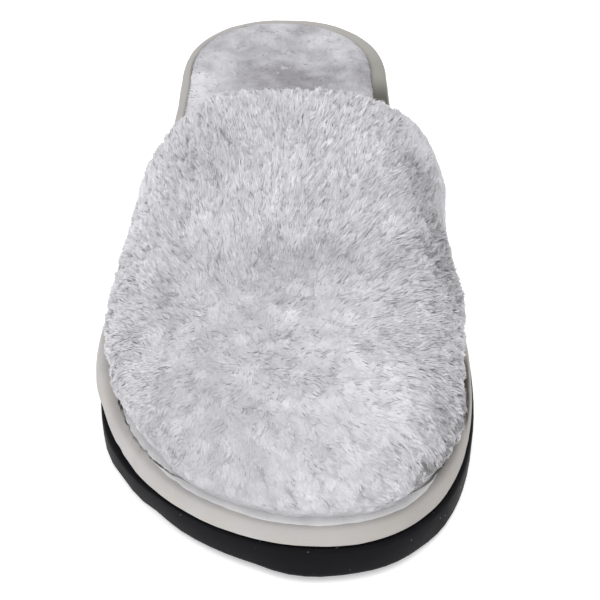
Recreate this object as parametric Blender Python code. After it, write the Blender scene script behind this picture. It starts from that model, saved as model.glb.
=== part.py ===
"""House slipper for the right foot: a closed-toe scuff with a plush fleece upper and an open back.

Frame: floor at z = 0 and +Z up, toe towards -Y, heel towards +Y, medial (big toe) side towards +X.
Sizes are in millimetres, and become metres where a mesh is made.
"""

import math
from collections import namedtuple

import bmesh
import bpy
from mathutils import Vector, noise

MM = 0.001
SEAM_GAP = 0.3
SHARP_ANGLE = math.radians(40)

# Plan of the sole
LENGTH = 270.0
BALL_WIDTH = 109.0
HEEL_WIDTH = 76.0
BALL_OFFSET = -0.36
TOE_OFFSET = 9.0
HEEL_OFFSET = -1.5
HEEL_ROUND = 40.0
HEEL_POWER = 2.2
OUTSOLE_SHIFT = 0.9
FLARE = 2.2
FLARE_Y = -92.0
FLARE_REACH = 40.0
TOE_Y = -LENGTH / 2
HEEL_Y = LENGTH / 2

Side = namedtuple("Side", "name sign ball_back toe_power waist heel_rim rib_power")
LATERAL = Side("lateral", sign=-1, ball_back=80.0, toe_power=1.95, waist=2.0, heel_rim=3.6, rib_power=2.35)
MEDIAL = Side("medial", sign=1, ball_back=80.0, toe_power=2.4, waist=2.5, heel_rim=6.0, rib_power=2.6)

# Heights over the floor along the foot: tread, top of the rubber, top of the platform's rim
INSTEP_HEIGHT = 73.0
HEEL_HEIGHT = 25.5
Level = namedtuple("Level", "place y tread rubber rim")
LEVELS = (
    Level("toe tip", TOE_Y, 2.2, 13.2, 20.4),
    Level("toe break", -100.0, 0.0, 9.8, 17.4),
    Level("ball", -45.0, 0.0, 9.0, 16.6),
    Level("arch", 5.0, 2.0, 10.8, 19.5),
    Level("heel front", 55.0, 0.0, 12.5, 22.5),
    Level("heel back", 115.0, 0.0, 13.5, 24.5),
    Level("heel end", HEEL_Y, 1.5, 14.5, HEEL_HEIGHT),
)

# Rings of each sole piece from its underside up: inset from the outline, and rise over a level
Ring = namedtuple("Ring", "inset level rise")
OUTSOLE_RINGS = (
    Ring(1.4, "tread", 0.0),
    Ring(0.5, "tread", 0.6),
    Ring(0.1, "tread", 1.8),
    Ring(0.0, "rubber", -1.2),
    Ring(0.3, "rubber", -0.3),
    Ring(1.0, "rubber", 0.0),
)
PLATFORM_RINGS = (
    Ring(1.2, "rubber", SEAM_GAP),
    Ring(0.3, "rubber", 1.1),
    Ring(-0.2, "rubber", 2.8),
    Ring(0.1, "rim", -2.6),
    Ring(0.7, "rim", -0.9),
    Ring(1.7, "rim", 0.0),
)
SEAT_DEPTH = 2.6
SEAT_DRAFT = 0.3
SEAT_RINGS = (
    Ring(0.0, "rim", 0.0),
    Ring(SEAT_DRAFT, "rim", -SEAT_DEPTH),
)
INSOLE_RINGS = (
    Ring(SEAT_DRAFT + SEAM_GAP, "rim", SEAM_GAP - SEAT_DEPTH),
    Ring(SEAM_GAP, "rim", -0.4),
    Ring(0.7, "rim", 1.0),
    Ring(2.4, "rim", 1.9),
    Ring(9.0, "rim", 1.7),
)
INSOLE_DISH = 1.0
SEAT_CLEARANCE = 0.7
SEAT_FRONT = 6.0
SEAT_BACK = 58.0
SOLE_STATIONS = 56
SPINE_END = 36.0

# Tread: bars cut across the flat forefoot and the flat heel
TREAD_ZONES = ((-96.0, -47.0), (60.0, 112.0))
TREAD_PITCH = 12.0
TREAD_WIDTH = 3.2
TREAD_DEPTH = 1.6
TREAD_MARGIN = 10.0

# Upper: a fleece wall whose ribs rise from the platform's rim to the ridge of the instep
WALL = 4.5
MARGIN_HEIGHT = 3.6
MARGIN_LIP = 0.8
MARGIN_STEP = 1.3
RIB_BULGE = 1.0
TOE_RIB_POWER = 2.25
RIBS = 42
RIB_STEPS = 17
THROAT_ROLL = 1.6
Foot = namedtuple("Foot", "place y lateral medial")
FEET = (
    Foot("toe tip", TOE_Y, 1.9, 1.9),
    Foot("toe corner", -112.0, 2.2, 2.0),
    Foot("ball", -72.0, 5.2, 2.2),
    Foot("vamp", -30.0, 5.6, 1.8),
    Foot("throat", 4.0, 4.4, 1.4),
)
Ridge = namedtuple("Ridge", "place y height")
RIDGE = (
    Ridge("toe crown", -91.0, 51.5),
    Ridge("toes", -70.0, 55.5),
    Ridge("vamp", -40.0, 62.0),
    Ridge("throat", -6.0, INSTEP_HEIGHT),
)
RIDGE_TOE_X = 5.0
TOE_FAN = 0.36
LOCK_SIZE = 11.0
LOCK_HEIGHT = 2.2

Finish = namedtuple("Finish", "color roughness")
FLEECE = Finish((0.56, 0.55, 0.58), 0.95)
SOCK = Finish((0.45, 0.44, 0.46), 0.95)
MICROSUEDE = Finish((0.54, 0.51, 0.50), 0.85)
RUBBER = Finish((0.022, 0.022, 0.025), 0.55)


def clear_scene():
    for item in list(bpy.data.objects):
        bpy.data.objects.remove(item)


def blend(a, b, t):
    return a + (b - a) * t


def smooth(t):
    t = min(max(t, 0.0), 1.0)
    return t * t * (3.0 - 2.0 * t)


def quarter(reach, power):
    """Quarter of a superellipse: 1 at reach 0, and 0 at reach 1."""
    return max(0.0, 1.0 - reach**power) ** (1.0 / power)


def through(rows, column, y):
    """A table's column at y, on a smooth curve that never overshoots its rows."""
    ys = [row.y for row in rows]
    values = [getattr(row, column) for row in rows]
    steps = [(values[i + 1] - values[i]) / (ys[i + 1] - ys[i]) for i in range(len(rows) - 1)]
    slopes = [steps[0]]
    for before, after in zip(steps, steps[1:]):
        slopes.append(2 * before * after / (before + after) if before * after > 0 else 0.0)
    slopes.append(steps[-1])
    y = min(max(y, ys[0]), ys[-1])
    i = min(sum(y > end for end in ys[1:]), len(steps) - 1)
    span = ys[i + 1] - ys[i]
    t = (y - ys[i]) / span
    bend = slopes[i] * t * (1 - t) ** 2 - slopes[i + 1] * t**2 * (1 - t)
    return blend(values[i], values[i + 1], smooth(t)) + span * bend


def add_finish(mesh, name, look):
    material = bpy.data.materials.new(name)
    material.use_nodes = True
    shader = material.node_tree.nodes["Principled BSDF"]
    shader.inputs["Base Color"].default_value = (*look.color, 1.0)
    shader.inputs["Roughness"].default_value = look.roughness
    shader.inputs["Metallic"].default_value = 0.0
    material.diffuse_color = (*look.color, 1.0)
    mesh.materials.append(material)


def make_piece(name, points, faces, look):
    """One named object from points in millimetres, with its own material and smooth shading."""
    mesh = bpy.data.meshes.new(name)
    mesh.from_pydata([point * MM for point in points], [], faces)
    shape = bmesh.new()
    shape.from_mesh(mesh)
    bmesh.ops.recalc_face_normals(shape, faces=shape.faces)
    shape.to_mesh(mesh)
    shape.free()
    mesh.shade_smooth()
    mesh.set_sharp_from_angle(angle=SHARP_ANGLE)
    add_finish(mesh, name, look)
    piece = bpy.data.objects.new(name, mesh)
    bpy.context.scene.collection.objects.link(piece)
    return piece


def edge_x(side, y):
    """Edge of the sole on one side: a round toe, a taper with a slight waist, and a round heel."""
    ball_x = BALL_OFFSET + side.sign * BALL_WIDTH / 2
    heel_x = HEEL_OFFSET + side.sign * HEEL_WIDTH / 2
    ball_y = TOE_Y + side.ball_back
    heel_y = HEEL_Y - HEEL_ROUND
    if y < ball_y:
        return blend(TOE_OFFSET, ball_x, quarter((ball_y - y) / side.ball_back, side.toe_power))
    if y > heel_y:
        return blend(HEEL_OFFSET, heel_x, quarter((y - heel_y) / HEEL_ROUND, HEEL_POWER))
    along = (y - ball_y) / (heel_y - ball_y)
    waist = side.waist * math.sin(math.pi * along) ** 2
    return blend(ball_x, heel_x, smooth(along)) - side.sign * waist


def sole_outline():
    """Closed plan outline: toe tip, medial side to the heel, and the lateral side back."""
    turns = [math.pi * i / SOLE_STATIONS for i in range(SOLE_STATIONS + 1)]
    ys = [TOE_Y + LENGTH * (1.0 - math.cos(turn)) / 2 for turn in turns]
    medial = [Vector((edge_x(MEDIAL, y), y)) for y in ys]
    lateral = [Vector((edge_x(LATERAL, y), y)) for y in reversed(ys[1:-1])]
    return medial + lateral


def inward(points):
    """Inward unit normal at each point of a closed outline that runs anticlockwise."""
    normals = []
    for i, after in enumerate(points[1:] + points[:1]):
        tangent = (after - points[i - 1]).normalized()
        normals.append(Vector((-tangent.y, tangent.x)))
    return normals


def rim_width(point):
    """Width of the platform's rim: the upper stands on it in front, and the heel's rim is narrow."""
    behind_upper = smooth((point.y - SEAT_FRONT) / (SEAT_BACK - SEAT_FRONT))
    widths = []
    for side in (LATERAL, MEDIAL):
        under_upper = through(FEET, side.name, point.y) + WALL + SEAT_CLEARANCE
        widths.append(blend(under_upper, side.heel_rim, behind_upper))
    toward_medial = smooth((point.x + HEEL_WIDTH / 2) / HEEL_WIDTH)
    return blend(*widths, toward_medial)


def flare_at(point):
    """How far the rubber stands out beyond the platform beside the small toes."""
    beside_toes = smooth(1.0 - abs(point.y - FLARE_Y) / FLARE_REACH)
    return FLARE * beside_toes if point.x < 0.0 else 0.0


def sole_ring(ring, inside_rim=False, flared=False):
    """A ring that follows the sole's outline, flared or not, or the inside of the platform's rim."""
    edge = sole_outline()
    points = []
    for point, normal in zip(edge, inward(edge)):
        inset = ring.inset + (rim_width(point) if inside_rim else 0.0) - (flare_at(point) if flared else 0.0)
        place = point + normal * inset
        points.append(Vector((place.x, place.y, through(LEVELS, ring.level, place.y) + ring.rise)))
    return points


def middle_seam(ring, level, rise):
    """A ring drawn in to a line along the middle of the foot, which closes the end of a solid."""
    points = []
    for i in range(len(ring)):
        y = min(max((ring[i].y + ring[-i].y) / 2, TOE_Y + SPINE_END), HEEL_Y - SPINE_END)
        x = blend(TOE_OFFSET, HEEL_OFFSET, smooth((y - TOE_Y) / LENGTH))
        points.append(Vector((x, y, through(LEVELS, level, y) + rise)))
    return points


def number_rows(rows):
    """Points of a grid, and the rows of their numbers. Places that coincide are one point."""
    points = []
    numbers = {}
    grid = []
    for row in rows:
        line = []
        for point in row:
            key = tuple(round(value, 4) for value in point)
            if key not in numbers:
                numbers[key] = len(points)
                points.append(point)
            line.append(numbers[key])
        grid.append(line)
    return points, grid


def face_of(*corners):
    """A face with its repeated corners dropped, or none where it has no area."""
    kept = tuple(dict.fromkeys(corners))
    return [kept] if len(kept) > 2 else []


def loft(name, rings, look):
    """Closed solid through rings of equal count, whose first and last are middle seams."""
    points, grid = number_rows(rings)
    faces = []
    for lower, upper in zip(grid, grid[1:]):
        for i in range(len(lower)):
            faces += face_of(lower[i - 1], lower[i], upper[i], upper[i - 1])
    return make_piece(name, points, faces, look)


def make_outsole():
    rings = [sole_ring(ring, flared=True) for ring in OUTSOLE_RINGS]
    under = middle_seam(rings[0], "tread", 0.0)
    over = middle_seam(rings[-1], "rubber", 0.0)
    outsole = loft("outsole", [under, *rings, over], RUBBER)
    outsole.location.x = OUTSOLE_SHIFT * MM
    cut = outsole.modifiers.new("tread", "BOOLEAN")
    cut.operation = "DIFFERENCE"
    cut.solver = "EXACT"
    cut.object = make_tread_cutter()


def make_tread_cutter():
    """Bars across the flats of forefoot and heel, stopped short of the sole's edge."""
    bars = bmesh.new()
    for front, back in TREAD_ZONES:
        count = round((back - front) / TREAD_PITCH)
        for i in range(count + 1):
            y = blend(front, back, i / count)
            lateral = edge_x(LATERAL, y) + TREAD_MARGIN
            medial = edge_x(MEDIAL, y) - TREAD_MARGIN
            size = Vector((medial - lateral, TREAD_WIDTH, 2 * TREAD_DEPTH)) * MM
            place = Vector(((lateral + medial) / 2, y, 0.0)) * MM
            bar = bmesh.ops.create_cube(bars, size=1.0)["verts"]
            bmesh.ops.scale(bars, verts=bar, vec=size)
            bmesh.ops.translate(bars, verts=bar, vec=place)
    mesh = bpy.data.meshes.new("tread_cutter")
    bars.to_mesh(mesh)
    bars.free()
    cutter = bpy.data.objects.new("tread_cutter", mesh)
    cutter.location.x = OUTSOLE_SHIFT * MM
    cutter.hide_render = True
    cutter.display_type = "WIRE"
    bpy.context.scene.collection.objects.link(cutter)
    return cutter


def make_platform():
    rings = [sole_ring(ring) for ring in PLATFORM_RINGS]
    seat = [sole_ring(ring, inside_rim=True) for ring in SEAT_RINGS]
    under = middle_seam(rings[0], "rubber", SEAM_GAP)
    floor = middle_seam(seat[-1], "rim", -SEAT_DEPTH)
    loft("platform", [under, *rings, *seat, floor], MICROSUEDE)


def make_insole():
    rings = [sole_ring(ring, inside_rim=True) for ring in INSOLE_RINGS]
    under = middle_seam(rings[0], "rim", SEAM_GAP - SEAT_DEPTH)
    over = middle_seam(rings[-1], "rim", INSOLE_DISH)
    loft("insole", [under, *rings, over], SOCK)


def rib_feet(side):
    """Feet of the ribs on one side, from the toe tip back to the throat, on the platform's rim."""
    ys = [blend(TOE_Y, FEET[-1].y, 1.0 - math.cos(math.pi / 2 * i / RIBS)) for i in range(RIBS + 1)]
    edge = [Vector((edge_x(side, y), y)) for y in ys]
    across_tip = Vector((2 * edge[0].x - edge[1].x, edge[1].y))
    beyond_throat = 2 * edge[-1] - edge[-2]
    run = [across_tip, *edge, beyond_throat]
    feet = []
    for before, foot, after in zip(run, edge, run[2:]):
        tangent = (after - before).normalized()
        inset = through(FEET, side.name, foot.y)
        place = foot + Vector((-tangent.y, tangent.x)) * side.sign * inset
        feet.append(Vector((place.x, place.y, through(LEVELS, "rim", place.y) + SEAM_GAP)))
    return feet


def shares(points):
    """Share of a line's length that is reached at each of its points."""
    reach = [0.0]
    for before, after in zip(points, points[1:]):
        reach.append(reach[-1] + (after - before).length)
    return [distance / reach[-1] for distance in reach]


def ridge_points(lateral_feet, medial_feet):
    """Tops of the ribs on the ridge: those of the toe fan out of its crown, the rest stand behind it."""
    points = []
    for lateral, medial in zip(shares(lateral_feet), shares(medial_feet)):
        share = max(0.0, (lateral + medial) / 2 - TOE_FAN) / (1.0 - TOE_FAN)
        y = blend(RIDGE[0].y, RIDGE[-1].y, share)
        x = RIDGE_TOE_X * (1.0 - smooth(share))
        points.append(Vector((x, y, through(RIDGE, "height", y))))
    return points


def ridge_slope(y):
    ahead = max(y - 1.0, RIDGE[0].y)
    behind = min(y + 1.0, RIDGE[-1].y)
    return (through(RIDGE, "height", behind) - through(RIDGE, "height", ahead)) / (behind - ahead)


def rib(foot, top, power):
    """One section line: a soft superellipse arc from its foot on the rim up to the ridge.

    It leaves the ridge square to it and in its slope, so that the two sides meet with no crease.
    """
    across = Vector((top.x - foot.x, top.y - foot.y, 0.0))
    outward = -across.normalized()
    squareness = outward.x**2
    rise = top.z - foot.z
    turns = [0.0]
    for height in (MARGIN_HEIGHT, MARGIN_HEIGHT + MARGIN_LIP):
        turns.append(math.asin((height / rise) ** (power / 2)))
    turns += [blend(turns[-1], math.pi / 2, i / RIB_STEPS) for i in range(1, RIB_STEPS + 1)]
    points = []
    for turn in turns:
        share = 1.0 - math.cos(turn) ** (2 / power)
        along = blend(share, 1.0 - (1.0 - share) ** 2, squareness)
        bulge = outward * RIB_BULGE * math.sin(2 * turn)
        lift = rise * math.sin(turn) ** (2 / power)
        tilt = ridge_slope(top.y) * (1.0 - along) * across.y * share**2
        points.append(foot + bulge + Vector((across.x * share, across.y * along, lift - tilt)))
    return points


def upper_arches():
    """Arches of the upper from the toe back to the throat, each from its lateral to its medial foot."""
    lateral, medial = rib_feet(LATERAL), rib_feet(MEDIAL)
    arches = []
    for i, top in enumerate(ridge_points(lateral, medial)):
        toward_throat = smooth(i / RIBS)
        left = rib(lateral[i], top, blend(TOE_RIB_POWER, LATERAL.rib_power, toward_throat))
        right = rib(medial[i], top, blend(TOE_RIB_POWER, MEDIAL.rib_power, toward_throat))
        arches.append(left + right[-2::-1])
    return arches


def skin_normals(points, faces):
    skin = bmesh.new()
    corners = [skin.verts.new(point) for point in points]
    for face in faces:
        skin.faces.new([corners[i] for i in face])
    skin.normal_update()
    normals = [corner.normal.copy() for corner in corners]
    skin.free()
    return normals


def lock_relief(place):
    """Height of the pile at a place on the skin: irregular round locks with creases between them."""
    nearest = noise.voronoi(place / LOCK_SIZE)[0][0]
    return LOCK_HEIGHT * max(0.0, 1.0 - nearest)


def make_upper():
    """Hollow vamp: fleece locks outside, smooth inside, open at the throat and underneath."""
    points, grid = number_rows(upper_arches())
    count = len(points)
    last = len(grid[0]) - 1
    margin_rows = last // 2 - RIB_STEPS
    skin = []
    for before, after in zip(grid, grid[1:]):
        for j in range(last):
            skin += face_of(before[j], before[j + 1], after[j + 1], after[j])
    normals = skin_normals(points, skin)
    outer = [place + normal * lock_relief(place) for place, normal in zip(points, normals)]
    inner = [place - normal * WALL for place, normal in zip(points, normals)]
    for arch in grid:
        for k in arch[:margin_rows] + arch[-margin_rows:]:
            outer[k] = points[k] - normals[k] * MARGIN_STEP
            outer[k].z = points[k].z
        for foot in (arch[0], arch[-1]):
            inner[foot].z = points[foot].z
    faces = skin + [tuple(count + k for k in reversed(face)) for face in skin]
    for before, after in zip(grid, grid[1:]):
        for j in (0, last):
            faces.append((before[j], after[j], count + after[j], count + before[j]))
    roll = []
    throat = grid[-1]
    for edge, before in zip(throat, grid[-2]):
        back = (points[edge] - points[before]).normalized()
        back.z = max(back.z, 0.0)
        roll.append((outer[edge] + inner[edge]) / 2 + back * THROAT_ROLL)
    for j in range(last):
        near, far = 2 * count + j, 2 * count + j + 1
        faces.append((throat[j], throat[j + 1], far, near))
        faces.append((near, far, count + throat[j + 1], count + throat[j]))
    for j in (0, last):
        faces.append((throat[j], 2 * count + j, count + throat[j]))
    make_piece("upper", outer + inner + roll, faces, FLEECE)


clear_scene()
make_outsole()
make_platform()
make_insole()
make_upper()
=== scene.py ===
"""Looks of the house slipper: a plush upper, a microsuede band, a worn fleece insole and a black sole.

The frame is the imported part's: floor at z = 0, toe towards -Y, medial side towards +X. Sizes below are in
millimetres, and become metres where a mesh is made.
"""

import math
from collections import namedtuple

import bmesh
import bpy
import numpy as np
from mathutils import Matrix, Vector, kdtree, noise
from mathutils.bvhtree import BVHTree


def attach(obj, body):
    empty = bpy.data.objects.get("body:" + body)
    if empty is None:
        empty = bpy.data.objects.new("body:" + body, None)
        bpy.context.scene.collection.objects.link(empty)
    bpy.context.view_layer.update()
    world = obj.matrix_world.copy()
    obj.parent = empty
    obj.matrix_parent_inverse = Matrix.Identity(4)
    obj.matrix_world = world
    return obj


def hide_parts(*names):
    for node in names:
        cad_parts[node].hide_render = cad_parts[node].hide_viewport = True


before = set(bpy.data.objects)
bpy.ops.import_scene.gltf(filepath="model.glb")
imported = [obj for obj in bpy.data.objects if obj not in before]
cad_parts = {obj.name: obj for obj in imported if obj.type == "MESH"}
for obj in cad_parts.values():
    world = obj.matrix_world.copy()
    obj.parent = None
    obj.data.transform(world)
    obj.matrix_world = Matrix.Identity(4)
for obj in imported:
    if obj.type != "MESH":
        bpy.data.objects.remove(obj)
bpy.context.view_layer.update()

MM = 0.001
WELD = 1e-6
SEED = 7
SUBDIVISIONS = 2
UP = np.array((0.0, 0.0, 1.0))
OVERHEAD = 200.0

# Angles up to which triangles are joined as quads, by fold and by skew, and from which an edge stays sharp
QUAD_FOLD = math.radians(50)
QUAD_SKEW = math.radians(60)
SHARP_EDGE = math.radians(40)

# Upward parts of a face's normal: less than this on a side, and less than this under the foot
STEEP = 0.3
FACING_DOWN = -0.95

# Camera that took the photograph, in the shoe's frame
CAMERA_PLACE = (4.25, -408.7, 304.0)
CAMERA_TILT = math.radians(52.5)
CAMERA_VIEW = math.radians(22.0)
SENSOR_WIDTH = 36.0

# Studio
Light = namedtuple("Light", "name place size power")
KEY_LIGHT = Light("key", (0.0, -400.0, 1260.0), 1100.0, 10.3)
FILL_LIGHT = Light("fill", (-600.0, -1150.0, 430.0), 900.0, 2.6)
LIGHTS_AIM = (0.0, -40.0, 30.0)
SKY_STRENGTH = 0.75
FLOOR_REACH = 6000.0
FLOOR_GLOW = 0.35
FLOOR_PAPER = (0.92, 0.92, 0.92)
WHITE = (1.0, 1.0, 1.0)

# Colours of cloth under and beside the pile, each from dark to light
MARGIN_CLOTH = ((0.54, 0.535, 0.545), (0.62, 0.615, 0.625))
FLEECE_BACKING = ((0.41, 0.405, 0.42), (0.47, 0.465, 0.48))
FLEECE_LINING = ((0.42, 0.41, 0.42), (0.52, 0.51, 0.53))
SOCK_BACKING = ((0.43, 0.425, 0.44), (0.47, 0.465, 0.485))

# Colours of the fibres at each tone, at their roots and at their tips; the darker roots are painted shade
FLEECE_ROOTS = (
    (0.0, (0.13, 0.12, 0.115)),
    (0.12, (0.43, 0.425, 0.45)),
    (1.0, (0.58, 0.575, 0.60)),
)
FLEECE_TIPS = (
    (0.02, (0.2, 0.19, 0.19)),
    (0.05, (0.425, 0.42, 0.445)),
    (0.3, (0.54, 0.535, 0.56)),
    (0.5, (0.62, 0.615, 0.645)),
    (0.7, (0.67, 0.67, 0.71)),
    (1.0, (0.84, 0.84, 0.865)),
)
SOCK_ROOTS = (
    (0.0, (0.25, 0.24, 0.26)),
    (0.5, (0.455, 0.45, 0.475)),
    (1.0, (0.64, 0.635, 0.66)),
)
SOCK_TIPS = (
    (0.0, (0.24, 0.23, 0.25)),
    (0.5, (0.455, 0.45, 0.475)),
    (1.0, (0.66, 0.655, 0.68)),
)

# Colours of the band's cover: clean, painted shade along its upper edge and on its medial heel, side and rim,
# and in its nap
BAND_DARK = (0.415, 0.395, 0.385)
BAND_PALE = (0.465, 0.452, 0.45)
BAND_BLUSH = (0.46, 0.415, 0.365)
BAND_FADED = (0.40, 0.40, 0.40)
BAND_EDGE_SHADE = (0.34, 0.335, 0.325)
HEEL_SHADE = (0.235, 0.228, 0.195)
MEDIAL_SHADE = (0.30, 0.28, 0.26)
RIM_SHADOW = (0.06, 0.058, 0.045)
BAND_NAP = (0.36, 0.34, 0.32)

# Colours of the crease (painted shade at the toe, a dark seam on the lateral side, painted shadow on the
# medial side), of the painted shadow in the medial gap, and of the sole
CREASE_DARK = (0.28, 0.27, 0.265)
CREASE_PALE = (0.44, 0.43, 0.425)
CREASE_LATERAL = (0.07, 0.066, 0.062)
CREASE_MEDIAL = (0.045, 0.036, 0.03)
# Painted shadow in the gap between the upper and the band on the medial side
GAP_SHADE = (0.022, 0.016, 0.013)
RUBBER_BLACK = (0.007, 0.007, 0.0085)
RUBBER_DUST = (0.014, 0.014, 0.0155)
RUBBER_SPECKS = (0.16, 0.16, 0.16)

# Soft troughs pressed into a surface, or ridges where the depth is negative, along a line from start to end
Press = namedtuple("Press", "start end depth width")

# Upper: the line inside the vamp that its walls turn round, and what sets its skin apart from a plain arch
VAMP_TOE = np.array((5.0, -95.0, 30.0))
VAMP_THROAT = np.array((0.0, 0.0, 38.0))
UPPER_PRESSES = (
    Press((42.0, -2.0, 52.0), (46.0, -12.0, 47.0), -2.6, 12.0),
    Press((50.0, -26.0, 44.0), (52.0, -36.0, 36.0), 2.4, 11.0),
    Press((52.0, -58.0, 36.0), (53.0, -80.0, 33.0), 1.8, 13.0),
    Press((53.0, -64.0, 21.0), (52.0, -88.0, 20.0), 3.0, 7.0),
    Press((46.5, -96.0, 27.0), (45.5, -101.0, 26.0), -0.8, 7.0),
    Press((42.0, -114.0, 22.0), (36.0, -120.0, 22.0), 0.8, 6.0),
    Press((-49.0, -40.0, 33.0), (-50.0, -62.0, 28.0), -1.0, 10.0),
    Press((-50.0, -68.0, 34.0), (-49.0, -90.0, 29.0), -1.2, 12.0),
    Press((-46.0, -90.0, 23.0), (-34.0, -110.0, 23.0), 1.6, 5.5),
    Press((-36.0, -1.0, 58.0), (-32.0, -1.0, 61.0), 1.6, 8.0),
    Press((-34.0, -62.0, 54.0), (10.0, -70.0, 58.0), 0.8, 10.0),
)

# Where the throat's rim begins, how far its faces may turn in and carry pile, and the foot's greatest height
RIM_FRONT = -14.0
RIM_FACING = -0.35
HIGHEST_FOOT = 24.0

# Height of the bare margin above the foot, what the medial gap and the lateral side add, and the pile's rise
MARGIN = 3.2
MARGIN_MEDIAL = 1.0
MARGIN_GAP = 3.5
MARGIN_LATERAL = 1.5
PILE_RISE = 7.0

# Nap: the pile lies away from a crown on the vamp, in all directions near it and more in line further off
NAP_CROWN = np.array((-8.0, -100.0, 49.0))
CROWN_REACH = (6.0, 42.0)
NAP_SPREAD = (0.84, 0.14)
WANDER_SIZE = 15.0
WANDER_ANGLE = 0.3

# The pile is matted round a place near the toe, and looser further from it
MATTED_TOE = (-2.0, -112.0)
MATTED_REACH = (36.0, 42.0)
MATTED_FALL = (0.5, 1.8)
LOOSENESS = (0.1, 1.0)

# The medial wall, by a slanted and a straight line in plan, and how far its pile is matted and flattened
WALL_SLANT = 0.4
WALL_SLANTED = (26.0, 36.0)
WALL_STRAIGHT = (30.0, 40.0)
WALL_MATTED = 0.5
WALL_FLATTENED = 0.4

# Tufts of the upper, from matted to loose, or from upright to lying for their length
PILE_LENGTH = (2.6, 3.5)
LENGTH_SHARE = (0.65, 1.0)
PILE_HEIGHT = (0.2, 0.85)
TUFT_WIDTH = (3.6, 3.0)
TUFT_TONE = (0.16, 0.55)
LOCK_TINT = (0.03, 0.08)
LOCK_PULL = (0.7, 0.9)
TUFT_MOTTLE = 0.11
TUFT_MOTTLE_SIZE = 2.5

# Sizes of tufts, and lengths and widths of fibres, vary at random from a least to a most share
UPPER_TUFTS_VARY = (0.75, 1.25)
INSOLE_TUFTS_VARY = (0.8, 1.2)
LENGTHS_VARY = (0.6, 1.3)
WIDTHS_VARY = (0.6, 1.4)

# Size of the short pile beside the margin, from where it stands to where it hangs
SHORT_PILE = (0.25, 0.6)

# Soft locks of the pile: size, height, slope and the painted light and shade on them, and where in x they
# grow from faint to full
LOCK_SIZE = 5.0
LOCK_HEIGHT = 0.45
LOCK_SLOPE = 0.45
LOCK_SHADING = 0.06
LOCK_EVEN_TONE = 0.4
LOCKS_GROW = (-25.0, 5.0)
LOCKS_SHARE = (0.3, 1.0)

# Specks of painted shadow between the pile's tips, low on the medial side and along a line there
SHADE_SPECKS_BACK = (46.5, -97.0, 28.0)
SHADE_SPECKS_FRONT = (36.0, -120.0, 26.0)
SHADE_SPECKS_REACH = 4.5
SHADE_SPECKS_SIZE = 2.6
SHADE_SPECKS_TONE = 0.8

# Partings in the pile, as lines in plan, with how wide they are and how dark their painted shade is
PARTINGS = (
    ((-21.8, -31.0), (-18.9, -40.0)),
    ((-20.5, -17.0), (-16.5, -24.0)),
    ((-30.0, -14.0), (-28.0, -19.0)),
    ((-2.6, -13.0), (-2.9, -17.0)),
    ((-6.0, -38.0), (-6.6, -43.5)),
    ((-32.0, -45.0), (-28.0, -50.0)),
)
PARTING_WIDTH = 0.5
PARTING_SHADE = 0.36

# Patches where the nap looks darker or lighter: place in plan, reach, and change of tone. Those on the medial
# wall and low on the medial side are painted shade, and those along the lateral edge are painted light.
Patch = namedtuple("Patch", "x y reach tone")
UPPER_PATCHES = (
    Patch(-21.0, -26.0, 8.0, -0.3),
    Patch(0.0, -68.0, 15.0, -0.25),
    Patch(18.0, -67.0, 8.0, -0.18),
    Patch(-30.0, -72.0, 15.0, -0.2),
    Patch(-18.0, -105.0, 18.0, -0.1),
    Patch(16.0, -88.0, 9.0, 0.12),
    Patch(30.0, -52.0, 9.0, 0.22),
    Patch(24.0, -114.0, 12.0, 0.2),
    Patch(-14.0, -124.0, 10.0, -0.12),
    Patch(22.0, -22.0, 14.0, 0.12),
    Patch(-27.0, -108.0, 12.0, -0.1),
    Patch(2.0, -40.0, 9.0, 0.18),
    # Painted shade on the medial wall
    Patch(40.0, -24.0, 7.0, -0.6),
    Patch(43.0, -38.0, 8.0, -0.6),
    Patch(45.0, -53.0, 8.0, -0.6),
    Patch(47.0, -65.0, 6.0, -0.35),
    # Painted shadow low on the medial side
    Patch(42.0, -108.0, 5.0, -0.35),
    Patch(48.0, -96.0, 4.0, -0.35),
    # Painted light along the lateral edge
    Patch(-44.0, -18.0, 8.0, 0.45),
    Patch(-46.0, -36.0, 8.0, 0.4),
    Patch(-49.0, -56.0, 7.0, 0.35),
    Patch(-50.0, -74.0, 6.0, 0.3),
)
INSOLE_PATCHES = (
    Patch(-8.0, 84.0, 14.0, -0.45),
    Patch(12.0, 80.0, 12.0, -0.3),
    Patch(0.0, 100.0, 22.0, -0.15),
    Patch(-30.0, 84.0, 12.0, 0.5),
    Patch(10.0, 112.0, 12.0, 0.12),
)

# Pile: how far apart its tufts are, how many fibres each has, and a fibre's width
Pile = namedtuple("Pile", "spacing strands fibre")
UPPER_PILE = Pile(spacing=1.8, strands=52, fibre=0.24)
UNDERCOAT = Pile(spacing=1.8, strands=18, fibre=0.2)
INSOLE_PILE = Pile(spacing=2.2, strands=50, fibre=0.35)

# Undercoat: its share of the coat's length, its height, and how much painted shade darkens it under loose
# pile
UNDERCOAT_LENGTH = 0.7
UNDERCOAT_HEIGHT = 0.1
UNDERCOAT_SHADE = 0.12

# Roots are darts thrown at the skin, and those too near another are dropped. A piece has only so many fibres.
DARTS_PER_ROOT = 6.0
MOST_STRANDS = 95000

# The fibres' map: tone across, with limits and a width for each fibre, and the way from root to tip upwards
PILE_MAP = "OFBake"
MAP_TONES = (0.03, 0.97)
MAP_HALF_WIDTH = 0.01
MAP_SHARES = (0.01, 0.99)
ROOTS_FADE = (0.0, 0.8)

# Locks that tufts lean in to: how far apart, how many are tried, their length to width, and their pull
CLUMP = 4.0
NEAR_LOCKS = 8
LOCK_STRETCH = 1.8
PULL_POWER = 1.2

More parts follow.
